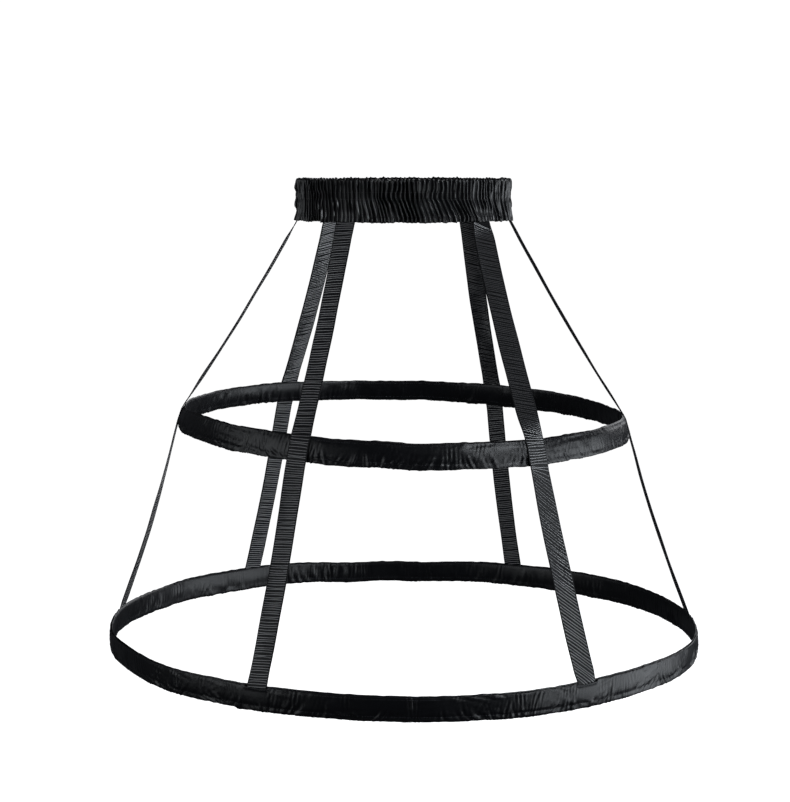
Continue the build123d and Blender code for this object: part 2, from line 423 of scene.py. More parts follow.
class Recipe:
    """A Geometry Nodes tree with named inputs, ending in plain geometry with a material."""

    def __init__(self, name, sizes):
        self.tree = bpy.data.node_groups.new(name, "GeometryNodeTree")
        self.tree.is_modifier = True
        face = self.tree.interface
        face.new_socket("Geometry", in_out="INPUT", socket_type="NodeSocketGeometry")
        for size in sizes:
            kind = "NodeSocketInt" if size == "Seed" else "NodeSocketFloat"
            face.new_socket(size, in_out="INPUT", socket_type=kind)
        face.new_socket("Finish", in_out="INPUT", socket_type="NodeSocketMaterial")
        face.new_socket("Geometry", in_out="OUTPUT", socket_type="NodeSocketGeometry")
        self.given = self.tree.nodes.new("NodeGroupInput").outputs

    def node(self, kind, settings, inputs):
        """Adds a node, sets it, then fills or links its sockets."""
        made = self.tree.nodes.new(kind)
        for setting, value in settings.items():
            setattr(made, setting, value)
        for socket, value in inputs.items():
            if isinstance(value, bpy.types.NodeSocket):
                self.tree.links.new(value, made.inputs[socket])
            else:
                made.inputs[socket].default_value = value
        return made.outputs[0]

    def end(self, geometry):
        real = self.node("GeometryNodeRealizeInstances", {}, {"Geometry": geometry})
        smooth = self.node("GeometryNodeSetShadeSmooth", {}, {"Geometry": real})
        dressed = self.node(
            "GeometryNodeSetMaterial", {}, {"Geometry": smooth, "Material": self.given["Finish"]}
        )
        self.tree.links.new(dressed, self.tree.nodes.new("NodeGroupOutput").inputs[0])

    def make(self, piece, **values):
        """Runs the tree on a piece, and leaves the result as its plain mesh."""
        modifier = piece.modifiers.new(self.tree.name, "NODES")
        modifier.node_group = self.tree
        for item in self.tree.interface.items_tree:
            if item.in_out == "INPUT" and item.name in values:
                modifier[item.identifier] = values[item.name]
        return applied(piece)


def stitch_recipe():
    """Stitches end to end along lines, each a small rounded bar of thread."""
    recipe = Recipe("stitching", ["Pitch", "Length", "Width", "Wander", "Seed"])
    given = recipe.given
    line = recipe.node("GeometryNodeMeshToCurve", {}, {"Mesh": given["Geometry"]})
    spaced = recipe.node(
        "GeometryNodeResampleCurve", {"mode": "LENGTH"}, {"Curve": line, "Length": given["Pitch"]}
    )
    tangent = recipe.node("GeometryNodeInputTangent", {}, {})
    strayed = recipe.node(
        "FunctionNodeRandomValue",
        {"data_type": "FLOAT_VECTOR"},
        {"Min": (-1, -1, -1), "Max": (1, 1, 1), "Seed": given["Seed"]},
    )
    stray = recipe.node(
        "ShaderNodeVectorMath", {"operation": "SCALE"}, {0: strayed, "Scale": given["Wander"]}
    )
    heading = recipe.node("ShaderNodeVectorMath", {"operation": "ADD"}, {0: tangent, 1: stray})
    turn = recipe.node("FunctionNodeAlignRotationToVector", {"axis": "X"}, {"Vector": heading})
    bar = recipe.node("GeometryNodeMeshUVSphere", {}, {"Segments": 5, "Rings": 4, "Radius": 0.5})
    lying = recipe.node(
        "GeometryNodeTransform", {}, {"Geometry": bar, "Rotation": (0, math.pi / 2, 0)}
    )
    size = recipe.node(
        "ShaderNodeCombineXYZ", {}, {"X": given["Length"], "Y": given["Width"], "Z": given["Width"]}
    )
    placed = recipe.node(
        "GeometryNodeInstanceOnPoints",
        {},
        {"Points": spaced, "Instance": lying, "Rotation": turn, "Scale": size},
    )
    recipe.end(placed)
    return recipe


def rib_recipe():
    """The ribs of the ribbon, thick threads that run across it and show on both its faces."""
    recipe = Recipe("ribbing", ["Radius"])
    line = recipe.node("GeometryNodeMeshToCurve", {}, {"Mesh": recipe.given["Geometry"]})
    size = recipe.node(
        "GeometryNodeInputNamedAttribute", {"data_type": "FLOAT"}, {"Name": "size"}
    )
    sized = recipe.node("GeometryNodeSetCurveRadius", {}, {"Curve": line, "Radius": size})
    thread = recipe.node(
        "GeometryNodeCurvePrimitiveCircle", {}, {"Resolution": 6, "Radius": recipe.given["Radius"]}
    )
    bars = recipe.node(
        "GeometryNodeCurveToMesh", {}, {"Curve": sized, "Profile Curve": thread, "Fill Caps": True}
    )
    recipe.end(bars)
    return recipe


# ---- Finishes


class Value:
    """A shader socket that varies over a surface. Python's operators add its Math nodes."""

    def __init__(self, finish, socket):
        self.finish, self.socket = finish, socket

    def _math(self, operation, first, second=0.0):
        return self.finish.node("ShaderNodeMath", {"operation": operation}, {0: first, 1: second})

    def __add__(self, other):
        return self._math("ADD", self, other)

    def __sub__(self, other):
        return self._math("SUBTRACT", self, other)

    def __rsub__(self, other):
        return self._math("SUBTRACT", other, self)

    def __mul__(self, other):
        return self._math("MULTIPLY", self, other)

    def __pow__(self, other):
        return self._math("POWER", self, other)

    def __abs__(self):
        return self._math("ABSOLUTE", self)

    __radd__, __rmul__ = __add__, __mul__

    def sine(self):
        return self._math("SINE", self)

    def cosine(self):
        return self._math("COSINE", self)


class Finish:
    """A procedural material with one shader, whose varying sockets are fed by nodes."""

    def __init__(self, name, **constants):
        self.material = bpy.data.materials.new(name)
        self.material.use_nodes = True
        self.tree = self.material.node_tree
        self.tree.nodes.clear()
        self.shader = self.tree.nodes.new("ShaderNodeBsdfPrincipled")
        output = self.tree.nodes.new("ShaderNodeOutputMaterial")
        self.tree.links.new(self.shader.outputs[0], output.inputs[0])
        for socket, value in constants.items():
            self.shader.inputs[socket.replace("_", " ")].default_value = value

    def node(self, kind, settings, inputs, output=0):
        """Adds a node, sets it, then fills or links its sockets."""
        made = self.tree.nodes.new(kind)
        for setting, value in settings.items():
            setattr(made, setting, value)
        for socket, value in inputs.items():
            self.fill(made.inputs[socket], value)
        return Value(self, made.outputs[output])

    def fill(self, socket, value):
        if isinstance(value, Value):
            self.tree.links.new(value.socket, socket)
        else:
            socket.default_value = value

    def feed(self, **sockets):
        for socket, value in sockets.items():
            self.fill(self.shader.inputs[socket.replace("_", " ")], value)

    def chart(self, scale=(1, 1, 1)):
        """The cloth's own UV map in metres, scaled."""
        uv = self.node("ShaderNodeUVMap", {"uv_map": "cloth"}, {})
        return self.node("ShaderNodeMapping", {}, {"Vector": uv, "Scale": scale})

    def solid(self, scale=(1, 1, 1)):
        """The piece's place in space, for what has no cut."""
        place = self.node("ShaderNodeTexCoord", {}, {}, "Object")
        return self.node("ShaderNodeMapping", {}, {"Vector": place, "Scale": scale})

    def noise(self, vector, scale, detail=2.0, roughness=0.5):
        inputs = {"Vector": vector, "Scale": scale, "Detail": detail, "Roughness": roughness}
        return self.node("ShaderNodeTexNoise", {}, inputs)

    def parts(self, vector):
        """The three numbers of a vector."""
        split = self.node("ShaderNodeSeparateXYZ", {}, {0: vector}).socket.node
        return [Value(self, number) for number in split.outputs]

    def blend(self, share, first, second):
        """One colour that turns into another."""
        return self.node(
            "ShaderNodeMix",
            {"data_type": "RGBA"},
            {"Factor": share, 6: (*first, 1), 7: (*second, 1)},
            2,
        )

    def wave(self, place, pitch):
        """A sine that repeats at a pitch along one number."""
        return (place * (2 * math.pi / pitch)).sine()

    def bump(self, height, strength, distance):
        inputs = {"Height": height, "Strength": strength, "Distance": distance}
        return self.node("ShaderNodeBump", {}, inputs)


def satin(name, dark, light, roughness, gathered=False):
    """Black satin: long floats of yarn that shine, over a fine weave. Where it is gathered only
    the crests keep their shine, and the valleys are dull."""
    gloss = 0.12 if gathered else 0.42
    finish = Finish(name, Specular_IOR_Level=gloss, Coat_Roughness=0.25, Coat_IOR=1.58)
    across, along, _ = finish.parts(finish.chart())
    if gathered:
        crest = (across * (2 * math.pi / GATHER_CUT)).cosine() * -0.5 + 0.5
        finish.feed(Coat_Weight=crest**1.3)
    yarn = finish.wave(along, 0.24 * MM) * 0.5 + 0.5
    floats = finish.noise(finish.chart((900, 5200, 1)), 1.0, 2.0)
    slubs = finish.noise(finish.chart((60, 900, 1)), 1.0, 3.0, 0.6)
    patches = finish.noise(finish.chart(), 38.0, 3.0, 0.55)
    finish.feed(
        Base_Color=finish.blend(patches * 0.6 + slubs * 0.4, dark, light),
        Roughness=patches * 0.10 + floats * 0.10 + (roughness - 0.10),
        Normal=finish.bump(yarn * 0.35 + floats * 0.9 + slubs * 0.5, 0.5, 0.05 * MM),
    )
    return finish.material


def ribbon(name):
    """Dull black ribbon with a close weave and rougher selvedges, its colour painted darker along
    both edges as painted shade.
    """
    finish = Finish(name, Specular_IOR_Level=0.26)
    across, along, _ = finish.parts(finish.chart())
    warp = finish.wave(across, 0.42 * MM)
    weft = finish.wave(along, 0.47 * MM)
    fuzz = finish.noise(finish.chart((1500, 1500, 1)), 1.0, 2.0)
    patches = finish.noise(finish.chart(), 55.0, 3.0, 0.55)
    # A mask at both edges of the ribbon: it makes the selvedges rougher, and below it darkens the
    # colour there, which is painted shade along the edges; the rest of the paleness is random tone
    selvedge_and_edge_shade = (abs(across) * (2 / STRAP_WIDTH)) ** 14.0
    pale = patches * 0.7 + (1 - selvedge_and_edge_shade) * 0.3
    finish.feed(
        Base_Color=finish.blend(pale, (0.0020, 0.0020, 0.0026), (0.0060, 0.0063, 0.0080)),
        Roughness=patches * 0.12 + selvedge_and_edge_shade * 0.16 + 0.43,
        Normal=finish.bump(warp * weft * 0.5 + fuzz * 0.5, 0.5, 0.06 * MM),
    )
    return finish.material


def rib_thread(name):
    """The ribbon's thick threads, which have no cut of their own."""
    finish = Finish(
        name, Specular_IOR_Level=1.0, Coat_Weight=1.0, Coat_IOR=2.1, Coat_Roughness=0.30
    )
    place = finish.solid()
    fuzz = finish.noise(place, 2400.0, 2.0)
    patches = finish.noise(place, 60.0, 3.0)
    finish.feed(
        Base_Color=finish.blend(patches, (0.012, 0.0125, 0.0150), (0.030, 0.0315, 0.0375)),
        Roughness=patches * 0.10 + fuzz * 0.10 + 0.28,
        Normal=finish.bump(fuzz, 0.4, 0.06 * MM),
    )
    return finish.material


def thread(name, dark, light):
    """Sewing thread, glossier and lighter than the satin; on the hoops the lightness is painted
    highlight.
    """
    finish = Finish(name, Specular_IOR_Level=0.6)
    twist = finish.noise(finish.solid(), 3200.0, 1.0)
    patches = finish.noise(finish.solid(), 120.0, 2.0)
    finish.feed(
        Base_Color=finish.blend(patches, dark, light),
        Roughness=twist * 0.2 + 0.30,
        Normal=finish.bump(twist, 0.5, 0.05 * MM),
    )
    return finish.material


def spring_steel(name):
    """Blued steel strip, brushed along its length and stained in patches."""
    finish = Finish(name, Metallic=1.0)
    brushing = finish.noise(finish.solid((120, 120, 4200)), 1.0, 3.0, 0.6)
    stains = finish.noise(finish.solid(), 45.0, 4.0, 0.6)
    finish.feed(
        Base_Color=finish.blend(stains, (0.36, 0.38, 0.42), (0.52, 0.53, 0.55)),
        Roughness=brushing * 0.16 + stains * 0.10 + 0.20,
        Normal=finish.bump(brushing, 0.3, 0.02 * MM),
    )
    return finish.material


def sleeve_metal(name):
    """Plated steel, with small scuffs from the pliers."""
    finish = Finish(name, Metallic=1.0)
    scuffs = finish.noise(finish.solid((900, 900, 300)), 1.0, 4.0, 0.65)
    clouds = finish.noise(finish.solid(), 160.0, 2.0)
    finish.feed(
        Base_Color=finish.blend(clouds, (0.56, 0.56, 0.54), (0.72, 0.72, 0.70)),
        Roughness=scuffs * 0.22 + 0.22,
        Normal=finish.bump(scuffs, 0.3, 0.03 * MM),
    )
    return finish.material


def elastic_web(name):
    """White woven elastic, ribbed along its length."""
    finish = Finish(name, Sheen_Weight=0.15, Sheen_Roughness=0.5)
    place = finish.solid()
    _, _, height = finish.parts(place)
    cords = finish.wave(height, 1.3 * MM) * 0.5 + 0.5
    weave = finish.noise(finish.solid((1800, 1800, 700)), 1.0, 2.0)
    finish.feed(
        Base_Color=finish.blend(cords * 0.6 + weave * 0.4, (0.62, 0.61, 0.58), (0.80, 0.79, 0.76)),
        Roughness=weave * 0.2 + 0.62,
        Normal=finish.bump(cords + weave * 0.5, 0.6, 0.15 * MM),
    )
    return finish.material


# ---- The waistband


def gather_columns(length, random):
    """Where the mesh's columns fall along the band, which gather each is in, and how near it is
    to the gather's crest. Each gather has its own width, and its columns run from valley to
    valley."""
    widths = random.uniform(0.70, 1.30, GATHERS)
    edges = np.concatenate([[0], np.cumsum(widths)]) / widths.sum() * length
    phase = np.arange(GATHERS * COLUMNS_PER_GATHER) / COLUMNS_PER_GATHER
    u = np.interp(phase, np.arange(GATHERS + 1), edges)[None, :]
    gather = np.floor(phase).astype(int)
    away = np.abs((phase - gather) * 2 - 1)
    crest = (1 - away) ** random.uniform(1.3, 2.1, GATHERS)[gather]
    return u, gather, crest


def gather_drift(waist, u, height, random):
    """How far each fold strays along the band. It wanders between one row of stitches and the
    next, and below the second it is dragged round to the right as it goes down."""
    first_row, second_row, _ = np.array(BAND_STITCHED_ROWS) * MM
    above = ease(height, (second_row - 4 * MM, second_row + 2 * MM), (0, 1))
    crown = ease(height, (first_row - 2 * MM, first_row + 4 * MM), (0, 1))
    low, middle, high = (
        uneven(u, 0 * u, cell * MM, 1, waist.length, random) for cell in (13, 11, 15)
    )
    wander = low * (1 - above) + middle * above * (1 - crown) + high * crown
    sway = uneven(u, height, 14 * MM, 9 * MM, waist.length, random)
    drag = ease(u, [waist.at(angle) for angle in DRAG_ANGLES], DRAG)
    dragged = np.clip(second_row + 1 * MM - height, 0, 20 * MM) * drag
    return wander * 0.9 * MM + sway * 0.7 * MM + dragged


def ruched_waistband(waist, finish):
    """A long strip folded over the elastic, drawn up into gathers and caught by rows of
    stitches, with its raw edges in a small ruffle at the bottom."""
    random = np.random.default_rng(101)
    length = waist.length
    layers = (BAND_OUTER_ROWS, BAND_FOLD_ROWS, BAND_INNER_ROWS)
    turn, height = folded(*layers)
    u, gather, crest = gather_columns(length, random)
    onwards = gather_drift(waist, u, height, random)

    # The gathers are lower at the stitches, and nearly flat over the straps' ends
    strap_ends = [waist.at(angles[WAIST_END]) for angles, *_ in STRAPS.values()]
    over_strap = near(u, strap_ends, 10 * MM, 5 * MM, length)
    held_flat = over_strap * ease(height, (-12.5 * MM, -7 * MM), (1, 0))
    strength = ease(height, np.array(GATHER_LEVELS) * MM, GATHER_STRENGTH)
    strength = strength * (1 - 0.80 * held_flat)
    full = random.uniform(0.50, 1.15, GATHERS)[gather] * np.ones_like(height)
    full = full * (1 + 0.40 * uneven(u, height, 7 * MM, 9 * MM, length, random))
    fine = 0.20 * uneven(u, height, 1.7 * MM, 9 * MM, length, random)
    rise = GATHER_HEIGHT * strength * (crest * full + fine * (0.35 + crest))
    lean = (0.45 + 0.6 * uneven(u, height, 12 * MM, 14 * MM, length, random)) * MM
    onwards = onwards + lean * crest * strength

    # The band is drawn in at its middle, and its bottom edge stands out, most at the left. The
    # ruffle there waves, except over the straps
    low_edge = ease(height, (BAND_BOTTOM - 6 * MM, -8 * MM), (1, 0))
    at_left = near(u, [waist.at(-90)], 4 * MM, 40 * MM, length)
    flare = (BAND_LEAN + BAND_LEAN_LEFT * at_left) * low_edge + ease(
        height, np.array(BAND_FLARE_LEVELS) * MM, np.array(BAND_FLARE) * MM
    )
    seam_row = BAND_STITCHED_ROWS[-1] * MM
    ruffle = ease(height, (BAND_BOTTOM, seam_row), (1, 0)) * (1 - over_strap)
    wave = uneven(u, 0 * height, 4.6 * MM, 1, length, random)
    face = BAND_VALLEY + rise
    outwards = flare + face * np.cos(turn) + ruffle * wave * 0.9 * MM
    upwards = height + face * 0.8 * np.sin(turn)
    upwards = upwards - ruffle * (0.5 * crest + 0.75 * wave) * MM
    crown = ease(height, (8 * MM, 21 * MM), (0, 1))
    upwards = upwards + crown * 0.5 * MM * uneven(u, 0 * height, 6 * MM, 1, length, random)

    points = waist.place(u, outwards, upwards, onwards)
    cut_length = GATHERS * GATHER_CUT
    cut = np.linspace(0, cut_length, GATHERS * COLUMNS_PER_GATHER, endpoint=False)[None, :]
    piece = cloth("waistband_satin", points, cut, cut_across(turn, height, 1.5 * MM), wrap=True)
    piece.data.materials.append(finish)
    thicken(piece, BAND_CLOTH)

    seams = rows_on_both_layers(points, *layers, BAND_STITCHED_ROWS)
    tacks = []
    for middle in strap_ends:
        for row in map(BAND_OUTER_ROWS.index, TACKED_ROWS):
            away = (u[0] + onwards[row] - middle + length / 2) % length - length / 2
            order = np.argsort(away)
            tacks.append(points[row][order[np.abs(away[order]) < TACK_HALF]])
    return piece, seams, tacks


# ---- The hoops


def pucker(u, height, length, random, row, reach_up, reach_down, depth, cell):
    """How a row of stitches draws cloth in, which puffs out between them."""
    away = height - row * MM
    fade = np.exp(-((away / np.where(away > 0, reach_up, reach_down)) ** 2))
    slip = uneven(u, 0 * u, 25 * MM, 1, length, random)
    shifted = u + away * slip * 1.7
    coarse = uneven(shifted, 0 * height, cell, 1, length, random)
    close = uneven(shifted, 0 * height, cell * 0.8, 1, length, random)
    vigour = 0.6 + 0.5 * uneven(u, 0 * u, 45 * MM, 1, length, random)
    return depth * fade * vigour * (coarse + 0.7 * close)


def casing_creases(u, height, length, random, feet, count):
    """Short creases all over a casing, longer ones along it, and small ones beside each strap."""

    def scattered(number, low, high):
        along, up = random.uniform(0, length, number), random.uniform(low, high, number)
        return np.stack([along, up], axis=-1)

    places = scattered(count, -11 * MM, 11 * MM)
    wrinkled = creases(u, height, length, places, random, *SHORT_CREASES)
    places = scattered(count // 2, -5 * MM, 9 * MM)
    wrinkled += creases(u, height, length, places, random, *LONG_CREASES)
    places = [
        (foot + side * random.uniform(12, 19) * MM, random.uniform(2, 10) * MM)
        for foot in feet
        for side in (-1, 1, -1, 1)
    ]
    wrinkled += creases(u, height, length, places, random, *FOOT_CREASES)
    return wrinkled


def clear_of_steel(face, u, height, turn, hoop, bow):
    """Keeps both layers clear of the steel, and of the sleeve that closes it."""
    level = height - bumps(u, hoop, hoop.dips)
    by_sleeve = near(u, [hoop.at(SLEEVE_ANGLE)], SLEEVE_HALF + 1 * MM, 5 * MM, hoop.length)
    for (inwards, out, bottom, top), beside in ((STEEL_REACH, 1), (SLEEVE_REACH, by_sleeve)):
        within = ease(level, (bottom - 2 * MM, bottom, top, top + 2 * MM), (0, 1, 1, 0))
        least = CASING_CLOTH + STEEL_ROOM + np.where(np.cos(turn) > 0, out - bow, inwards + bow)
        face = np.maximum(face, least * within * beside)
    return face


def hoop_casing(name, hoop, finish, edge, seed, columns, crease_count, heights, sewn, lap=None):
    """A strip of satin folded along its bottom edge round the steel, with one row of stitches
    that holds the steel up and one that closes the top. Where the straps end in it, that top
    edge opens."""
    random = np.random.default_rng(seed)
    length = hoop.length
    half = CASING_HEIGHT / 2
    layers = (CASING_OUTER_ROWS, CASING_FOLD_ROWS, CASING_INNER_ROWS)
    turn, height = folded(*layers)
    u = np.linspace(0, length, columns, endpoint=False)
    if lap is not None:
        seam = hoop.at(lap)
        u = np.sort(np.concatenate([u, seam + np.array([-0.2, -0.05, 0.05, 0.2]) * MM]))
    u = u[None, :]
    feet = [hoop.at(angles[sewn]) for angles, *_ in STRAPS.values()]
    strapped = near(u, feet, 11.5 * MM, 3 * MM, length)
    face = ease(
        height,
        np.array(CASING_FACE_LEVELS) * MM,
        (*np.array(CASING_FACE) * MM, edge * 1.25, edge, edge * 0.62),
    )

    # Stitches, creases and slack in the cloth, steadied where a strap holds it
    steel_row, top_row = CASING_STITCHED_ROWS
    uneven_face = pucker(u, height, length, random, steel_row, *STEEL_PUCKER)
    uneven_face = uneven_face + pucker(u, height, length, random, top_row, *TOP_PUCKER)
    uneven_face = uneven_face + casing_creases(u, height, length, random, feet, crease_count)
    swell = 0.22 * MM * uneven(u, height, 17 * MM, 11 * MM, length, random)
    steady = 1 - 0.8 * strapped * ease(height, (-8 * MM, -4 * MM), (0, 1))
    face = face + (uneven_face + swell) * steady
    face = np.maximum(face, np.where(height < -6 * MM, 0.55, 0.72) * MM)

    # The hoop is not a true circle, because the steel kinks a little where cloth drags on it
    knots = np.arange(STEEL_KINKS + 1) * (length / STEEL_KINKS)
    kinks = random.uniform(-1, 1, STEEL_KINKS + 1)
    drops = random.uniform(-1, 1, STEEL_KINKS + 1)
    kinks[-1], drops[-1] = kinks[0], drops[0]
    held = near(u, [*feet, hoop.at(SLEEVE_ANGLE)], 19 * MM, 20 * MM, length)
    bow = np.interp(u, knots, kinks) * 0.9 * MM * (1 - held)
    sag = np.interp(u, knots, drops) * 0.75 * MM
    face = clear_of_steel(face, u, height, turn, hoop, bow)

    # Its bottom and top edges wave
    hem = ease(height, (-half, -6 * MM), (1, 0))
    wavy = uneven(u, 0 * u, 13 * MM, 1, length, random)
    wavy = wavy + 0.35 * uneven(u, 0 * u, 4.4 * MM, 1, length, random)
    top = ease(height, (8 * MM, half), (0, 1))
    frill = uneven(u, 0 * u, 6.5 * MM, 1, length, random)
    outwards = bow + face * np.cos(turn) + hem * wavy * 0.38 * MM
    outwards = outwards + top * frill * 0.22 * MM * (1 - strapped)
    upwards = height - face * 0.9 * np.sin(turn) + sag + hem * wavy * 0.34 * MM
    upwards = upwards + top * frill * 0.36 * MM
    upwards = upwards * (1 + bumps(u, hoop, heights))
    outer_layer = np.cos(turn) > 0.5
    if sewn == LOWER_END:
        beside = near(u, feet, 14.5 * MM, 5 * MM, length) - strapped
        outwards = outwards + top * strapped * 1.3 * MM * outer_layer
        upwards = upwards + top * (0.8 * beside - 1.5 * strapped) * MM * outer_layer
    if lap is not None:
        past = (u - seam) / (70 * MM)
        lapped = np.where(past > 0, np.exp(-np.clip(past, 0, 9)), 0)
        outwards = outwards + lapped * 0.6 * MM * outer_layer
        upwards = upwards + hem * lapped * -0.9 * MM

    points = hoop.place(u, outwards, upwards)
    piece = cloth(name, points, u, cut_across(turn, height, 0.8 * MM), wrap=True, flip=True)
    piece.data.materials.append(finish)
    thicken(piece, CASING_CLOTH)
    seams = rows_on_both_layers(points, *layers, CASING_STITCHED_ROWS)
    if lap is None:
        return piece, seams
    column = int(np.argmin(np.abs(u[0] - seam - 2.2 * MM)))
    return piece, seams, points[: len(CASING_OUTER_ROWS) - 1, column]


# ---- The straps


def strap_path(name, waist, upper, lower):
    """The middle of a strap from the waistband, over the upper hoop and into the lower: how far
    along each point is, its place, and the directions of the strap's width and of its face.
    Then how far along it leaves the band, meets the upper casing, leaves it, and meets the
    lower one."""
    (waist_angle, upper_angle, lower_angle), (above, below), *_ = STRAPS[name]
    waist_u, upper_u, lower_u = waist.at(waist_angle), upper.at(upper_angle), lower.at(lower_angle)
    half = CASING_HEIGHT / 2
    stops = [
        (waist, waist_u, 0.2 * MM, STRAP_TOP),
        (waist, waist_u, BAND_LEAN - 0.2 * MM, BAND_BOTTOM),
        (upper, upper_u, STRAP_OVER_EDGE, half),
        (upper, upper_u, STRAP_OVER_CHANNEL, half - 3.5 * MM),
        (upper, upper_u, STRAP_OVER_CHANNEL + 0.6 * MM, half - 17 * MM),
        (lower, lower_u, STRAP_IN_MOUTH, half),
        (lower, lower_u, STRAP_INSIDE, half - 3.5 * MM),
        (lower, lower_u, STRAP_INSIDE, half - 16.5 * MM),
    ]
    points = np.array([line.place(u, out, up) for line, u, out, up in stops])
    width = np.array(
        [line.place(u, out, up, MM) - line.place(u, out, up, -MM) for line, u, out, up in stops]
    )
    width /= np.linalg.norm(width, axis=1)[:, None]
    reach = np.concatenate([[0], np.cumsum(np.linalg.norm(np.diff(points, axis=0), axis=1))])
    s = np.linspace(0, reach[-1], round(reach[-1] / STRAP_STEP))
    middle = np.stack([np.interp(s, reach, points[:, k]) for k in range(3)], axis=-1)
    across = np.stack([np.interp(s, reach, width[:, k]) for k in range(3)], axis=-1)
    _, band_edge, edge, _, channel, mouth, *_ = reach
    for start, end in ((band_edge, edge), (channel, mouth)):
        share = np.clip((s - start) / (end - start), 0, 1)[:, None]
        inwards = -middle * (1, 1, 0)
        inwards /= np.linalg.norm(inwards, axis=1)[:, None]
        middle = middle + inwards * STRAP_SAG * np.sin(math.pi * share)
    padded = np.concatenate([middle[:1], middle, middle[-1:]])
    middle = (padded[:-2] + 2 * padded[1:-1] + padded[2:]) / 4
    along = np.gradient(middle, axis=0)
    along /= np.linalg.norm(along, axis=1)[:, None]
    across -= along * np.sum(across * along, axis=1)[:, None]
    across /= np.linalg.norm(across, axis=1)[:, None]
    turn = ease(
        s,
        (0, band_edge, band_edge + 28 * MM, edge - 38 * MM, edge, channel)
        + (channel + 120 * MM, mouth - 14 * MM, mouth),
        np.radians((0, 0.1 * above, above, above, 0, 0, below, below, 0)),
    )[:, None]
    across = across * np.cos(turn) + np.cross(along, across) * np.sin(turn)
    return s, middle, across, np.cross(along, across), (band_edge, edge, channel, mouth)


def ribbon_surface(path, random):
    """The middle of a ribbon's thickness as a grid of points, one row for each point of its
    path. Free of the hoops and the band, it bows and its edges wander a little."""
    s, middle, across, outward, (band_edge, edge, channel, mouth) = path
    along, round_length = s[:, None], 2 * s[-1]
    side = np.array(RIBBON_COLUMNS)
    free = ease(
        s,
        (0, band_edge, band_edge + 25 * MM, edge - 18 * MM, edge)
        + (channel, channel + 18 * MM, mouth - 22 * MM, mouth),
        (0, 0, 1, 1, 0, 0, 1, 1, 0),
    )[:, None]
    bow = 0.7 * uneven(along, 0 * along, 60 * MM, 1, round_length, random)
    curl = uneven(along, side[None, :] * 10 * MM, 34 * MM, 9 * MM, round_length, random)
    lift = free * (bow * (1 - side**2) + 0.45 * curl) * MM
    dent = np.exp(-(((s - edge - TACK_DROP) / (1.4 * MM)) ** 2))[:, None]
    lift = lift - 0.35 * MM * dent
    narrowing = 1 + uneven(along, 0 * along, 40 * MM, 1, round_length, random)
    width = STRAP_WIDTH / 2 * (1 - 0.022 * free * narrowing)
    sway = free * 0.35 * MM * uneven(along, 0 * along, 70 * MM, 1, round_length, random)
    return (
        middle[:, None, :]
        + across[:, None, :] * (width * side + sway)[..., None]
        + outward[:, None, :] * lift[..., None]
    )


def on_ribbon(surface, row, column):
    """Points between a ribbon's rows and columns."""
    low, left = np.floor(row).astype(int), np.floor(column).astype(int)
    up, on = (row - low)[:, None], (column - left)[:, None]
    first = surface[low, left] * (1 - on) + surface[low, left + 1] * on
    second = surface[low + 1, left] * (1 - on) + surface[low + 1, left + 1] * on
    return first * (1 - up) + second * up


def ribbon_ribs(name, surface, s, stops, random, finish):
    """The ribs across a ribbon, whose slope, size and pitch change over the upper hoop."""
    band_edge, edge, channel, mouth = stops
    above, below = np.array(STRAPS[name][2:]) * (1, 1, MM)
    span = np.linspace(-0.9, 0.9, 9)
    column = np.interp(span, RIBBON_COLUMNS, np.arange(len(RIBBON_COLUMNS)))
    pressed_stops = (edge - 16 * MM, edge, channel + 4 * MM, channel + 30 * MM)
    rows, sizes = [], []
    place = band_edge + 1 * MM
    while place < mouth + 4 * MM:
        here = np.array([place])
        share = ease(here, (edge - 20 * MM, channel + 45 * MM), (0, 1))[0]
        slope, size, pitch = above * (1 - share) + below * share
        pressed = ease(here, pressed_stops, (0, 1, 1, 0))[0]
        worn = ease(here, (edge - 115 * MM, edge - 40 * MM), (RIB_NEAR_BAND, 1))[0]
        size = size * worn * (1 - pressed) + RIB_ON_HOOP * pressed
        bend = 0.7 * MM * random.uniform(-1, 1)
        at = place + slope * (1 - pressed) * span * STRAP_WIDTH / 2 + bend * (1 - span**2)
        place += pitch * random.uniform(0.88, 1.12)
        if at.min() < band_edge or at.max() > s[-1] - 2 * MM:
            continue
        rows.append(on_ribbon(surface, at / s[-1] * (len(s) - 1), column))
        sizes.append(np.full(len(span), size * random.uniform(0.80, 1.12)))
    bars = lines(f"{name}_ribs", rows, False, sizes)
    return rib_maker.make(bars, Radius=RIB_RADIUS, Finish=finish)


def strap(name, waist, upper, lower, finish, rib_finish, seed):
    """A ribbon with thick selvedges, the ribs across it, and the line of its tacks."""
    random = np.random.default_rng(seed)
    path = strap_path(name, waist, upper, lower)
    s, _, _, outward, stops = path
    surface = ribbon_surface(path, random)
    side = np.array(RIBBON_COLUMNS)
    away = np.abs(side)
    shares = np.where(away > THIN_EDGE, 0.62, np.where(away > SELVEDGE, 1.3, 0.86))
    rise = outward[:, None, :] * (STRAP_THICKNESS / 2 * shares)[None, :, None]
    ring = np.concatenate([surface + rise, (surface - rise)[:, ::-1]], axis=1)
    sides = np.concatenate([side, side[::-1]]) * STRAP_WIDTH / 2
    piece = cloth(f"{name}_ribbon", ring, sides[None, :], s[:, None], wrap=True)
    end_caps(piece, *ring.shape[:2])
    piece.data.materials.append(finish)
    bars = ribbon_ribs(name, surface, s, stops, random, rib_finish)
    _, edge, *_ = stops
    tack_row = round((edge + TACK_DROP) / s[-1] * (len(s) - 1))
    return piece, bars, (surface + rise)[tack_row, 1:-1], float(s[-1])


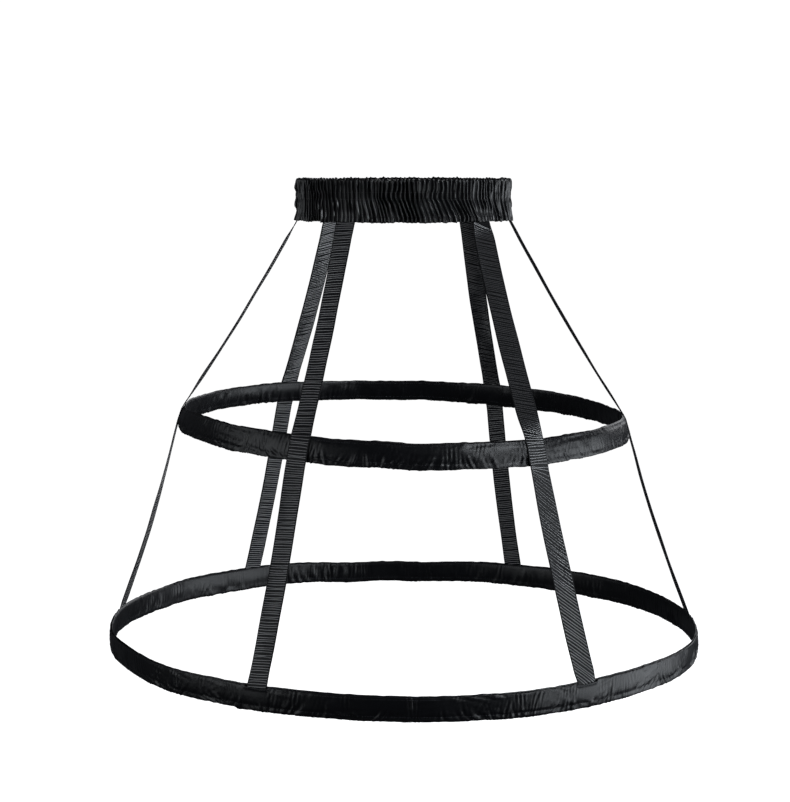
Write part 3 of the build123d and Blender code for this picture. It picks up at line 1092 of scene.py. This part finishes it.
def end_caps(piece, rows, columns):
    """Closes the two ends of a ribbon."""
    work = bmesh.new()
    work.from_mesh(piece.data)
    work.verts.ensure_lookup_table()
    for row, turned in ((0, False), (rows - 1, True)):
        start = row * columns
        for i in range(columns // 2 - 1):
            corners = [start + i, start + i + 1, start + columns - 2 - i, start + columns - 1 - i]
            if turned:
                corners.reverse()
            work.faces.new([work.verts[c] for c in corners]).smooth = False
    work.to_mesh(piece.data)
    work.free()


# ---- Putting the cage together

stitch_maker = stitch_recipe()
rib_maker = rib_recipe()


def stitches(name, rows, closed, seed, finish):
    """Rows of stitches, as one piece."""
    return stitch_maker.make(
        lines(name, rows, closed),
        Pitch=STITCH_PITCH,
        Length=STITCH_LENGTH,
        Width=STITCH_WIDTH,
        Wander=STITCH_WANDER,
        Seed=seed,
        Finish=finish,
    )


# The band's satin is given darker colours than the casings' satin: the difference is painted shade,
# for the shade deep between its gathers
band_satin = satin("ruched_satin", (0.0014, 0.0014, 0.0018), (0.0034, 0.0036, 0.0048), 0.42, True)
casing_satin = satin("casing_satin", (0.0022, 0.0023, 0.0031), (0.0058, 0.0061, 0.0082), 0.34)
strap_ribbon = ribbon("strap_ribbon")
strap_rib = rib_thread("strap_rib")
band_thread = thread("band_thread", (0.004, 0.004, 0.005), (0.012, 0.0125, 0.016))
# The hoops' thread is black; its light grey colour here is a painted highlight for the glints along
# the stitch rows
casing_thread_painted_glints = thread("casing_thread_painted_glints", (0.022, 0.023, 0.028), (0.090, 0.094, 0.110))

waist = Waist()
upper_hoop = Hoop("upper_hoop_casing", UPPER_LEAN, UPPER_TILT, UPPER_PITCH, UPPER_DIPS)
lower_hoop = Hoop("lower_hoop_casing", 0.0, LOWER_TILT, 0.0, LOWER_DIPS)

band, band_seams, tacks = ruched_waistband(waist, band_satin)
upper, upper_seams = hoop_casing(
    "upper_hoop_satin", upper_hoop, casing_satin, edge=UPPER_EDGE, seed=202, columns=1600,
    crease_count=100, heights=UPPER_HEIGHTS, sewn=UPPER_CROSSING,
)
lower, lower_seams, lap_line = hoop_casing(
    "lower_hoop_satin", lower_hoop, casing_satin, edge=LOWER_EDGE, seed=303, columns=1990,
    crease_count=150, heights=LOWER_HEIGHTS, sewn=LOWER_END, lap=LAP_SEAM,
)
band_stitches = stitches("waistband_stitches", band_seams, True, 1, band_thread)
upper_stitches = stitches("upper_hoop_stitches", upper_seams, True, 2, casing_thread_painted_glints)
lower_stitches = stitches("lower_hoop_stitches", lower_seams, True, 3, casing_thread_painted_glints)

tacks.append(lap_line)
straps = []
for seed, name in enumerate(STRAPS, start=400):
    piece, bars, tack, length = strap(
        name, waist, upper_hoop, lower_hoop, strap_ribbon, strap_rib, seed
    )
    straps.append((name, piece, bars, length))
    tacks.append(tack)
tack_stitches = stitches("strap_tacks", tacks, False, 4, band_thread)

for piece, node, slot, flat, held, inside, threads in (
    (
        band, "waistband_casing", "waistband_satin", (BAND_STRIP, GATHERS * GATHER_CUT),
        "gathered", "waistband_elastic", [band_stitches, tack_stitches],
    ),
    (
        upper, "upper_hoop_casing", "hoop_satin", (CASING_STRIP, upper_hoop.length),
        "folded", "upper_hoop_steel", [upper_stitches],
    ),
    (
        lower, "lower_hoop_casing", "hoop_satin", (CASING_STRIP, lower_hoop.length),
        "folded", "lower_hoop_steel", [lower_stitches],
    ),
):
    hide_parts(node)
    for part in (piece, *threads):
        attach(part, "root")

for name, piece, bars, length in straps:
    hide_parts(name)
    for part in (piece, bars):
        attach(part, "root")

blued_steel = spring_steel("blued_steel")
plated_sleeve = sleeve_metal("plated_sleeve")
for node, finish in (
    ("waistband_elastic", elastic_web("woven_elastic")),
    ("upper_hoop_steel", blued_steel),
    ("lower_hoop_steel", blued_steel),
    ("upper_hoop_sleeve", plated_sleeve),
    ("lower_hoop_sleeve", plated_sleeve),
):
    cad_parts[node].material_slots[0].material = finish


# ---- Studio


FLOOR, FLOOR_RADIUS, WALL_CURVE, WALL_TOP = -1.03, 9.0, 2.0, 7.0
# Where each light stands, what it faces, its width and height, its power and its colour
LIGHTS = {
    "window": ((2.25, -0.50, -0.56), (0, 0, -0.3), (2.8, 1.5), 36, (0.90, 0.95, 1.0)),
    "high_window": ((1.70, -1.65, 1.0), (0, -0.2, -0.35), (0.8, 0.8), 21, (0.90, 0.95, 1.0)),
    "left_fill": ((-2.2, -1.1, 0.05), (0, 0, -0.2), (1.6, 1.6), 11, (0.92, 0.96, 1.0)),
    "high_left": ((-2.0, 0.05, 0.70), (0, 0, -0.25), (1.3, 0.9), 2.4, (0.92, 0.96, 1.0)),
    "back_fill": ((1.3, 2.1, 0.6), (0, 0, -0.2), (2.0, 1.4), 14, (0.95, 0.97, 1.0)),
    "overhead": ((0.2, -0.3, 2.6), (0, 0, -0.2), (1.6, 1.6), 3, (1.0, 1.0, 1.0)),
}
SKY, SKY_STRENGTH = (0.85, 0.90, 1.0, 1), 0.035
CAMERA_PLACE = (-0.1483, -2.2215, 0.0545)
CAMERA_DOWN, CAMERA_ASIDE = 7.15, 3.57  # degrees below level, and towards +X
LENS, SENSOR = 90.18, 36


def studio_bowl():
    """A wide pale floor that curves up into a wall all round."""
    bend_start = FLOOR_RADIUS - WALL_CURVE
    profile = [(0.1 * MM, FLOOR), (bend_start, FLOOR)]
    profile += [
        (bend_start + WALL_CURVE * math.sin(a), FLOOR + WALL_CURVE * (1 - math.cos(a)))
        for a in np.linspace(0, math.pi / 2, 13)[1:]
    ]
    profile.append((FLOOR_RADIUS, WALL_TOP))
    turns = np.linspace(0, 2 * math.pi, 96, endpoint=False)
    points = np.array([[(r * math.cos(t), r * math.sin(t), z) for t in turns] for r, z in profile])
    rows = np.arange(len(profile))[:, None]
    bowl = cloth("studio_floor", points, turns[None, :], rows, wrap=True)
    paper = Finish("studio_paper", Emission_Strength=1.0, Emission_Color=(1, 1, 1, 1))
    grain = paper.noise(paper.solid(), 3.0, 2.0)
    paper.feed(
        Base_Color=paper.blend(grain, (0.93, 0.93, 0.93), (0.95, 0.95, 0.95)),
        Roughness=grain * 0.1 + 0.8,
    )
    bowl.data.materials.append(paper.material)
    bowl.visible_glossy = False
    bowl.visible_diffuse = False
    bowl.visible_shadow = False


def softbox(name, place, aim, size, power, colour):
    """A soft studio light that faces a point."""
    light = bpy.data.lights.new(name, "AREA")
    light.shape = "RECTANGLE"
    light.size, light.size_y = size
    light.energy = power
    light.color = colour
    lamp = bpy.data.objects.new(name, light)
    lamp.location = place
    lamp.visible_camera = False
    lamp.rotation_euler = (Vector(aim) - Vector(place)).to_track_quat("-Z", "Y").to_euler()
    bpy.context.scene.collection.objects.link(lamp)


def studio_camera():
    """The camera, in front of the cage and a little to its left."""
    camera = bpy.data.objects.new("camera", bpy.data.cameras.new("camera"))
    camera.location = CAMERA_PLACE
    camera.rotation_euler = (math.radians(90 - CAMERA_DOWN), 0, math.radians(-CAMERA_ASIDE))
    camera.data.lens = LENS
    camera.data.sensor_width = SENSOR
    bpy.context.scene.collection.objects.link(camera)
    bpy.context.scene.camera = camera


studio_bowl()
world = bpy.data.worlds.new("studio")
world.use_nodes = True
sky = world.node_tree.nodes["Background"].inputs
sky["Color"].default_value = SKY
sky["Strength"].default_value = SKY_STRENGTH
bpy.context.scene.world = world
for name, light in LIGHTS.items():
    softbox(name, *light)
studio_camera()
bpy.context.scene.view_settings.view_transform = "Standard"
